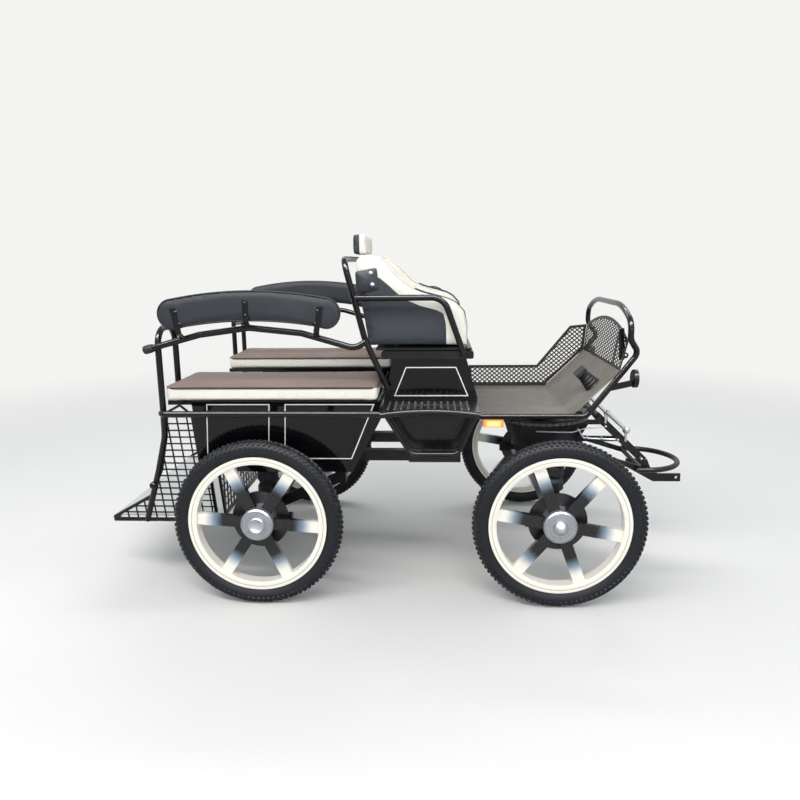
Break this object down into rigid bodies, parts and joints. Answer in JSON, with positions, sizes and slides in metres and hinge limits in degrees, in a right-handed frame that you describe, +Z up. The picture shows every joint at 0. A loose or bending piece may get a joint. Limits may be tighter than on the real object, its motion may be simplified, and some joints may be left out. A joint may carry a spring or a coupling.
{
  "type": "horse drawn carriage",
  "caption": "Open four-wheeled horse drawn carriage with a steered fore-carriage, side benches on a step-in body and a raised driver's seat.",
  "frame": {"origin": "on the ground under the middle of the carriage's bounding box", "axes": "+X forward to the hitch, +Y to the carriage's left, +Z up"},
  "size_m": [2.592, 1.369, 1.512],
  "materials": {
    "tyre": "matte",
    "wheel_paint": "satin",
    "hub_metal": "machined",
    "rubber": "matte",
    "hide_cream": "soft",
    "hide_black": "soft",
    "wire": "gloss",
    "floor_mat": "ribbed",
    "lattice": "satin",
    "amber": "gloss",
    "bright_rod": "bright",
    "ring_steel": "worn",
    "gloss_body": "high gloss",
    "board": "dark satin",
    "black_steel": "gloss"
  },
  "bodies": {
    "carriage_body": {"bench_back_left": "hide_black", "bench_back_right": "hide_black", "bench_base_left": "black_steel", "bench_base_right": "black_steel", "bench_cushion_left": "hide_cream", "bench_cushion_right": "hide_cream", "bench_rail_left": "black_steel", "bench_rail_right": "black_steel", "body_floor": "gloss_body", "body_front": "gloss_body", "body_side_left": "gloss_body", "body_side_right": "gloss_body", "brake_pedal": "rubber", "dash_panel": "lattice", "driver_back": "hide_cream", "driver_box": "gloss_body", "driver_cushion": "hide_cream", "driver_side_left": "hide_black", "driver_side_right": "hide_black", "footwell_floor": "floor_mat", "footwell_frame": "black_steel", "footwell_panel": "lattice", "front_lamps": "black_steel", "head_pad": "hide_cream", "main_frame": "black_steel", "rear_axle": "black_steel", "rear_bellows": "rubber", "rear_screen_left": "wire", "rear_screen_right": "wire", "riser_screen": "wire", "seat_board": "board", "seat_frame": "black_steel", "side_markers": "amber", "side_tread_left": "black_steel", "side_tread_right": "black_steel", "step_floor": "floor_mat", "under_box": "gloss_body"},
    "fore_carriage": {"draw_frame": "black_steel", "draw_struts": "bright_rod", "fore_frame": "black_steel", "front_axle": "black_steel", "front_springs": "rubber", "hitch": "black_steel", "lower_ring": "ring_steel"},
    "wheel_front_right": {"front_right_hub": "hub_metal", "front_right_tyre": "tyre", "front_right_wheel": "wheel_paint"},
    "wheel_front_left": {"front_left_hub": "hub_metal", "front_left_tyre": "tyre", "front_left_wheel": "wheel_paint"},
    "wheel_rear_right": {"rear_right_hub": "hub_metal", "rear_right_tyre": "tyre", "rear_right_wheel": "wheel_paint"},
    "wheel_rear_left": {"rear_left_hub": "hub_metal", "rear_left_tyre": "tyre", "rear_left_wheel": "wheel_paint"}
  },
  "joints": [
    {"name": "steering", "type": "hinge", "parent": "carriage_body", "child": "fore_carriage", "pos_m": [0.61, 0, 0.66], "axis": [0, 0, 1], "range_deg": [-38, 38]},
    {"name": "roll_front_right", "type": "hinge", "parent": "fore_carriage", "child": "wheel_front_right", "pos_m": [0.61, -0.615, 0.35], "axis": [0, 1, 0], "continuous": true},
    {"name": "roll_front_left", "type": "hinge", "parent": "fore_carriage", "child": "wheel_front_left", "pos_m": [0.61, 0.615, 0.35], "axis": [0, 1, 0], "continuous": true},
    {"name": "roll_rear_right", "type": "hinge", "parent": "carriage_body", "child": "wheel_rear_right", "pos_m": [-0.61, -0.615, 0.35], "axis": [0, 1, 0], "continuous": true},
    {"name": "roll_rear_left", "type": "hinge", "parent": "carriage_body", "child": "wheel_rear_left", "pos_m": [-0.61, 0.615, 0.35], "axis": [0, 1, 0], "continuous": true}
  ]
}
